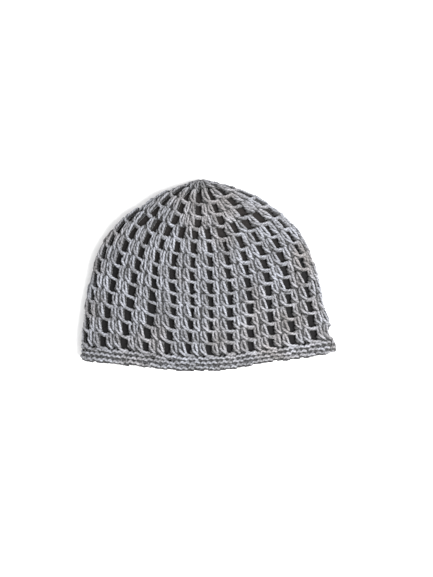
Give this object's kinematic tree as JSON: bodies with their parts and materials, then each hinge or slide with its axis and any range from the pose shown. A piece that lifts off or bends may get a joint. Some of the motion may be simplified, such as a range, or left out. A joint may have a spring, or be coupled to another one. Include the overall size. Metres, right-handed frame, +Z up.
{
  "type": "kufi",
  "caption": "Crocheted skull cap with a closed crown, an openwork net side, a close-worked band and a dark lining, lying on its side.",
  "frame": {"origin": "middle of the footprint on the surface the cap lies on", "axes": "+X across the cap from fold to fold, +Y from the rim to the tip, +Z up through both layers"},
  "size_m": [0.2593, 0.195, 0.045],
  "materials": {
    "yarn": "soft matt wool and acrylic yarn, heather grey",
    "lining": "matt dark jersey"
  },
  "bodies": {
    "root": {"crown": "yarn", "sides": "yarn", "band": "yarn", "lining": "lining"}
  },
  "joints": []
}
